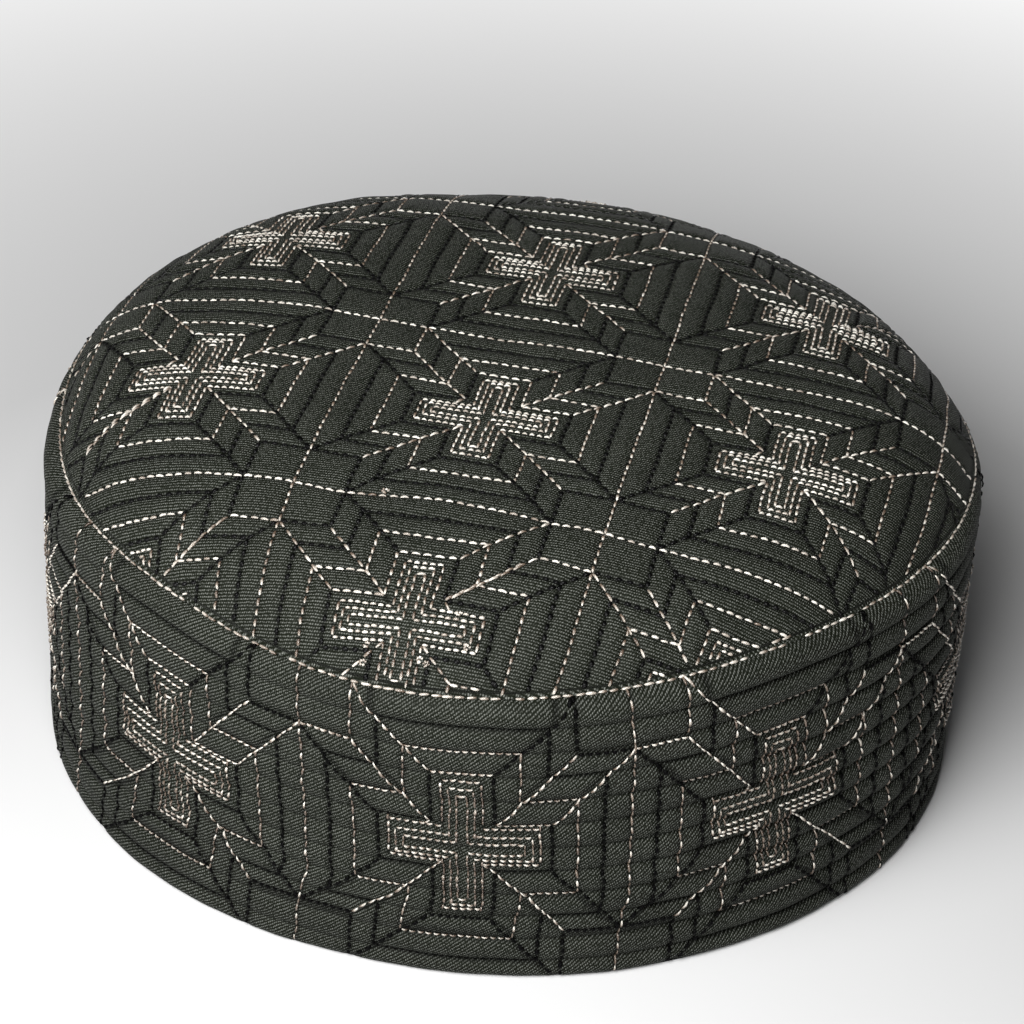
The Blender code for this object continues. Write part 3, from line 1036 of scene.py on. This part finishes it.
# Painted shade along the quilting lines, where the channels lie in shadow: gain and offset on the
# cloth's colour.
CREASE_SHADE = (-0.58, 1.0)
CREASE_BUMP = -1.3
WEAR_SCALE = 55.0
WEAR = (0.6, 0.7)
TWILL_ROUGHNESS = (-0.15, 0.65)
TWILL_SPECULAR = 0.05
TWILL_BUMP = (0.16 * MM, 0.9)


def cloth_material(name, ridges, cross_yarns, crease_width, lightness):
    """Dark twill: fine slanting ridges broken into bright specks, partly a painted glint, and painted
    shade along the stitching.
    """
    nodes = Nodes(name)
    place = nodes.uv("cloth")
    wander = nodes.noise(place, YARN_WANDER_SCALE)

    def yarns(angle, pitch, power):
        across = (-math.sin(math.radians(angle)), math.cos(math.radians(angle)), 0.0)
        run = nodes.vector("DOT_PRODUCT", place, across)
        phase = nodes.linear(wander, YARN_WANDER, nodes.math("MULTIPLY", run, 2.0 * math.pi / pitch))
        return nodes.math("POWER", nodes.linear(nodes.math("SINE", phase), 0.5, 0.5), power)

    # The cross yarns break the ridges into bright specks: the weave's own pattern, its brightness
    # partly a painted glint on the yarns.
    specks = nodes.linear(yarns(*cross_yarns, SPECK_POWER), *SPECKS)
    weave = nodes.math("MULTIPLY", yarns(*ridges, RIDGE_POWER), specks)
    lint = nodes.linear(nodes.noise(place, LINT_SCALE, 0.0), *LINT, clamp=True)
    fibre = nodes.linear(lint, FIBRE[0] * lightness, FIBRE[1] * lightness)
    fibre = nodes.math("MULTIPLY", weave, fibre)
    crease = line_nearness(nodes, crease_width)
    # Painted shade: the colour darkens near each quilting line, where the channels lie in shadow, times
    # a random mottling of the cloth.
    shade = nodes.math("MULTIPLY", nodes.linear(crease, *CREASE_SHADE),
                       nodes.linear(nodes.noise(place, WEAR_SCALE, 3.0), *WEAR))
    colour = nodes.add("ShaderNodeVectorMath", {"operation": "SCALE"},
                       {0: nodes.mix(fibre, TWILL_DARK, TWILL_LIGHT), 3: shade})
    nodes.surface(colour.outputs[0], nodes.linear(fibre, *TWILL_ROUGHNESS), TWILL_SPECULAR)
    nodes.bump(nodes.linear(crease, CREASE_BUMP, fibre), *TWILL_BUMP)
    return nodes.material


# Thread, and how its shade runs from dark over middle to light: the light colour is a painted highlight
# and the dark one painted shade.
TONE_POWER = 1.4
TWIST_SLANT = 0.8
TWIST_SHADE = (0.4, 0.6)
MIDDLE_SHADE = 2.6
LIGHT_SHADE = (1.7, -0.5)
THREAD_BUMP = (0.05 * MM, 0.8)


def thread_material(name, light, middle, dark, roughness, specular):
    """Twisted lustrous thread, its shade varying from stitch to stitch and along each: painted
    highlight and painted shade set by its tone.
    """
    nodes = Nodes(name)
    tone_and_painted_light = nodes.add("ShaderNodeAttribute", {"attribute_name": "tone_and_painted_light"}).outputs["Fac"]
    run, across, _ = nodes.split(nodes.uv("cloth"))
    slant = nodes.linear(across, TWIST_SLANT, run)
    twist = nodes.math("SINE", nodes.math("MULTIPLY", slant, 2.0 * math.pi / THREAD_TWIST))
    twist = nodes.linear(twist, 0.5, 0.5)
    shade = nodes.math("MULTIPLY", nodes.math("POWER", tone_and_painted_light, TONE_POWER),
                       nodes.linear(twist, *TWIST_SHADE))
    colour = nodes.mix(nodes.math("MULTIPLY", shade, MIDDLE_SHADE, clamp=True), dark, middle)
    colour = nodes.mix(nodes.linear(shade, *LIGHT_SHADE, clamp=True), colour, light)
    nodes.surface(colour, roughness, specular)
    nodes.bump(twist, *THREAD_BUMP)
    return nodes.material


FLOOR_REACH = 3.0
FLOOR_GRAIN_SCALE = 6.0
FLOOR_GREYS = (0.60, 0.62)
FLOOR_GLOW_RISE = (3.2, -0.50)
FLOOR_GLOW = 0.85
# Roughness and specular level.
FLOOR_FINISH = (0.9, 0.1)
WHITE = (1.0, 1.0, 1.0, 1.0)


def build_floor():
    """A wide pale floor under the cap, glowing a little away from it."""
    corners = [((2 * x - 1) * FLOOR_REACH, (2 * y - 1) * FLOOR_REACH, 0.0) for x, y in CELL_CORNERS]
    nodes = Nodes("pale_floor")
    place = nodes.add("ShaderNodeTexCoord").outputs["Object"]
    greys = [(grey, grey, grey, 1.0) for grey in FLOOR_GREYS]
    nodes.surface(nodes.mix(nodes.noise(place, FLOOR_GRAIN_SCALE), *greys), *FLOOR_FINISH)
    glow = nodes.linear(nodes.vector("DISTANCE", place), *FLOOR_GLOW_RISE, clamp=True)
    nodes.fill(nodes.shader, {"Emission Color": WHITE,
                              "Emission Strength": nodes.math("MULTIPLY", glow, FLOOR_GLOW)})
    item = make_mesh("floor", nodes.material, corners, [(0, 1, 2, 3)])


# Camera: the photograph's view, found from the square grid of the crown's pattern.
CAMERA_PLACE = (85.6 * MM, -430.9 * MM, 349.2 * MM)
CAMERA_AZIMUTH = math.radians(-78.72)
CAMERA_ELEVATION = math.radians(35.04)
CAMERA_ROLL = math.radians(3.54)
CAMERA_LENS = 89.67
SENSOR_WIDTH = 36.0


def toward(azimuth, elevation):
    """Unit vector of a direction given by its azimuth and elevation in radians."""
    return Vector((math.cos(azimuth) * math.cos(elevation),
                   math.sin(azimuth) * math.cos(elevation), math.sin(elevation)))


def build_camera():
    data = bpy.data.cameras.new("camera")
    data.lens = CAMERA_LENS
    data.sensor_width = SENSOR_WIDTH
    data.clip_start = 0.01
    data.clip_end = 20.0
    item = bpy.data.objects.new("camera", data)
    item.location = CAMERA_PLACE
    look = -toward(CAMERA_AZIMUTH, CAMERA_ELEVATION)
    item.rotation_mode = "QUATERNION"
    item.rotation_quaternion = (look.to_track_quat("-Z", "Y")
                                @ Quaternion((0.0, 0.0, 1.0), CAMERA_ROLL))
    bpy.context.scene.collection.objects.link(item)
    bpy.context.scene.camera = item


# Lights: azimuth and elevation in degrees, distance and size in metres, power in watts.
LIGHT_TARGET = Vector((0.0, 0.0, 0.04))
LIGHTS = {
    "key": (259.0, 53.0, 0.47, (0.28, 0.28), 2.8),
    "fill": (259.0, 35.0, 0.53, (0.28, 0.28), 1.55),
    "behind": (95.0, 3.5, 0.85, (0.6, 0.08), 0.9),
}
ROOM_LIGHT = 0.035


def build_light():
    """Two near, soft lights from the front left, a low one behind, and a dim pale room."""
    for name, (azimuth, elevation, distance, size, power) in LIGHTS.items():
        data = bpy.data.lights.new(name, "AREA")
        data.shape = "RECTANGLE"
        data.size, data.size_y = size
        data.energy = power
        item = bpy.data.objects.new(name, data)
        item.location = toward(math.radians(azimuth), math.radians(elevation)) * distance
        item.rotation_euler = (LIGHT_TARGET - item.location).to_track_quat("-Z", "Y").to_euler()
        bpy.context.scene.collection.objects.link(item)
    world = bpy.data.worlds.new("room")
    world.use_nodes = True
    background = world.node_tree.nodes["Background"].inputs
    background["Color"].default_value = WHITE
    background["Strength"].default_value = ROOM_LIGHT
    bpy.context.scene.world = world
    bpy.context.scene.view_settings.view_transform = "Standard"


# Cloth: the ridges' angle in degrees and pitch, the same of the yarns across them, the width of
# the creases, and the lightness.
crown = build_crown(cloth_material("crown_twill", (0.0, 0.63 * MM), (72.0, 0.45 * MM),
                                   CROWN_CREASE_WIDTH, 0.785))
band = build_band(cloth_material("band_twill", (40.0, 0.62 * MM), (108.0, 0.43 * MM),
                                 BAND_CREASE_WIDTH, 0.90))
# Thread: its light (painted highlight), middle and dark (painted shade) colours, its roughness and its
# specular level.
cream = thread_material("cream_thread", (0.87, 0.84, 0.76, 1.0), (0.190, 0.148, 0.112, 1.0),
                        (0.045, 0.027, 0.017, 1.0), 0.25, 0.8)
black = thread_material("dark_thread", (0.004, 0.004, 0.004, 1.0), (0.002, 0.002, 0.002, 1.0),
                        (0.0005, 0.0005, 0.0005, 1.0), 0.30, 0.12)
band_black = thread_material("band_dark_thread", (0.002, 0.002, 0.002, 1.0),
                             (0.001, 0.001, 0.001, 1.0), (0.0003, 0.0003, 0.0003, 1.0), 0.45, 0.04)

threads = []
on_crown = crown_stitches()
on_band = band_stitches()
for colour, materials, width, groove_lift in ((CREAM, (cream, cream), CREAM_WIDTH, GROOVE_LIFT),
                                              (DARK, (black, band_black), DARK_WIDTH, 0.0)):
    stitches = on_crown[colour]
    threads.append(build_stitches("crown_" + colour + "_thread", materials[0], crown_face,
                                  stitches, width, STITCH_LIFT, crown_tones_and_painted_light(stitches)))
    stitches = on_band[colour]
    threads.append(build_stitches("band_" + colour + "_thread", materials[1], band_face,
                                  stitches, band_widths(stitches, width),
                                  STITCH_LIFT + groove_lift * groove_line(stitches),
                                  band_tones_and_painted_light(stitches)))
threads.append(build_seam(cream))

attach(crown, "root")
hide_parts("crown_panel")
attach(band, "root")
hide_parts("side_band")
for thread in threads:
    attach(thread, "root")

build_floor()
build_light()
build_camera()
